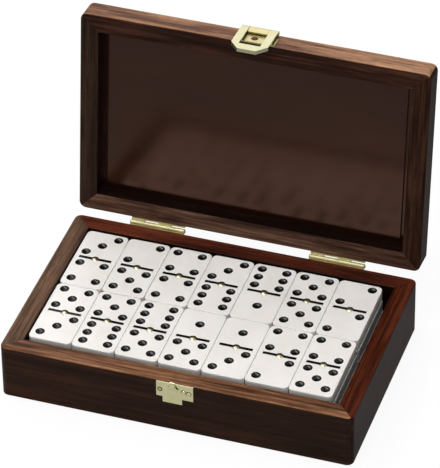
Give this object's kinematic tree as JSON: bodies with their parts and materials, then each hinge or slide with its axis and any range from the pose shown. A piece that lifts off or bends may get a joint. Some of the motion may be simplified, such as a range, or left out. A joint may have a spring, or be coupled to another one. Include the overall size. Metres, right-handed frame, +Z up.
{
  "type": "domino storage box",
  "caption": "Shallow hinged walnut box with mitred walls, a brass hasp on the front and stop hinges at the back, filled with layered dominoes.",
  "frame": {"origin": "centre of the base's rectangular footprint, on the surface it stands on", "axes": "+X to the right seen from the front, -Y the front with the clasp, +Y the hinge side, +Z up"},
  "size_m": [0.203, 0.1616, 0.1663],
  "materials": {
    "dark_wood": "dark walnut stain, satin lacquer",
    "ivory_plastic": "polished, pips and divider filled black",
    "brass": "polished thin sheet",
    "brass_rivet": "polished"
  },
  "bodies": {
    "base": {"base_front_wall": "dark_wood", "base_back_wall": "dark_wood", "base_left_wall": "dark_wood", "base_right_wall": "dark_wood", "base_bottom_panel": "dark_wood", "left_hinge_base_leaf": "brass", "left_hinge_pin": "brass", "right_hinge_base_leaf": "brass", "right_hinge_pin": "brass", "hinge_base_screws": "brass", "catch_plate": "brass", "catch_nails": "brass", "dominoes_layer_2": "ivory_plastic", "dominoes_layer_3": "ivory_plastic", "dominoes_layer_4": "ivory_plastic", "spinners_layer_2": "brass_rivet", "spinners_layer_3": "brass_rivet", "spinners_layer_4": "brass_rivet"},
    "lid": {"lid_front_wall": "dark_wood", "lid_back_wall": "dark_wood", "lid_left_wall": "dark_wood", "lid_right_wall": "dark_wood", "lid_top_panel": "dark_wood", "left_hinge_lid_leaf": "brass", "right_hinge_lid_leaf": "brass", "hinge_lid_screws": "brass", "clasp_leaf": "brass", "clasp_nails": "brass", "clasp_pin": "brass"},
    "flap": {"clasp_flap": "brass"},
    "tile_back_1": {"domino_back_1": "ivory_plastic", "spinner_back_1": "brass_rivet"},
    "tile_back_2": {"domino_back_2": "ivory_plastic", "spinner_back_2": "brass_rivet"},
    "tile_back_3": {"domino_back_3": "ivory_plastic", "spinner_back_3": "brass_rivet"},
    "tile_back_4": {"domino_back_4": "ivory_plastic", "spinner_back_4": "brass_rivet"},
    "tile_back_5": {"domino_back_5": "ivory_plastic", "spinner_back_5": "brass_rivet"},
    "tile_back_6": {"domino_back_6": "ivory_plastic", "spinner_back_6": "brass_rivet"},
    "tile_back_7": {"domino_back_7": "ivory_plastic", "spinner_back_7": "brass_rivet"},
    "tile_front_1": {"domino_front_1": "ivory_plastic", "spinner_front_1": "brass_rivet"},
    "tile_front_2": {"domino_front_2": "ivory_plastic", "spinner_front_2": "brass_rivet"},
    "tile_front_3": {"domino_front_3": "ivory_plastic", "spinner_front_3": "brass_rivet"},
    "tile_front_4": {"domino_front_4": "ivory_plastic", "spinner_front_4": "brass_rivet"},
    "tile_front_5": {"domino_front_5": "ivory_plastic", "spinner_front_5": "brass_rivet"},
    "tile_front_6": {"domino_front_6": "ivory_plastic", "spinner_front_6": "brass_rivet"},
    "tile_front_7": {"domino_front_7": "ivory_plastic", "spinner_front_7": "brass_rivet"}
  },
  "joints": [
    {"name": "lid", "type": "hinge", "parent": "base", "child": "lid", "pos_m": [0, 0.06615, 0.0331], "axis": [-1, 0, 0], "range_deg": [-96.4, 0]},
    {"name": "clasp_flap", "type": "hinge", "parent": "lid", "child": "flap", "pos_m": [-0.0004, 0.09389, 0.16196], "axis": [-1, 0, 0], "range_deg": [0, 170]},
    {"name": "tile_back_1_lift", "type": "slide", "parent": "base", "child": "tile_back_1", "axis": [0, 0, 1], "range_m": [0, 0.03]},
    {"name": "tile_back_2_lift", "type": "slide", "parent": "base", "child": "tile_back_2", "axis": [0, 0, 1], "range_m": [0, 0.03]},
    {"name": "tile_back_3_lift", "type": "slide", "parent": "base", "child": "tile_back_3", "axis": [0, 0, 1], "range_m": [0, 0.03]},
    {"name": "tile_back_4_lift", "type": "slide", "parent": "base", "child": "tile_back_4", "axis": [0, 0, 1], "range_m": [0, 0.03]},
    {"name": "tile_back_5_lift", "type": "slide", "parent": "base", "child": "tile_back_5", "axis": [0, 0, 1], "range_m": [0, 0.03]},
    {"name": "tile_back_6_lift", "type": "slide", "parent": "base", "child": "tile_back_6", "axis": [0, 0, 1], "range_m": [0, 0.03]},
    {"name": "tile_back_7_lift", "type": "slide", "parent": "base", "child": "tile_back_7", "axis": [0, 0, 1], "range_m": [0, 0.03]},
    {"name": "tile_front_1_lift", "type": "slide", "parent": "base", "child": "tile_front_1", "axis": [0, 0, 1], "range_m": [0, 0.03]},
    {"name": "tile_front_2_lift", "type": "slide", "parent": "base", "child": "tile_front_2", "axis": [0, 0, 1], "range_m": [0, 0.03]},
    {"name": "tile_front_3_lift", "type": "slide", "parent": "base", "child": "tile_front_3", "axis": [0, 0, 1], "range_m": [0, 0.03]},
    {"name": "tile_front_4_lift", "type": "slide", "parent": "base", "child": "tile_front_4", "axis": [0, 0, 1], "range_m": [0, 0.03]},
    {"name": "tile_front_5_lift", "type": "slide", "parent": "base", "child": "tile_front_5", "axis": [0, 0, 1], "range_m": [0, 0.03]},
    {"name": "tile_front_6_lift", "type": "slide", "parent": "base", "child": "tile_front_6", "axis": [0, 0, 1], "range_m": [0, 0.03]},
    {"name": "tile_front_7_lift", "type": "slide", "parent": "base", "child": "tile_front_7", "axis": [0, 0, 1], "range_m": [0, 0.03]}
  ]
}
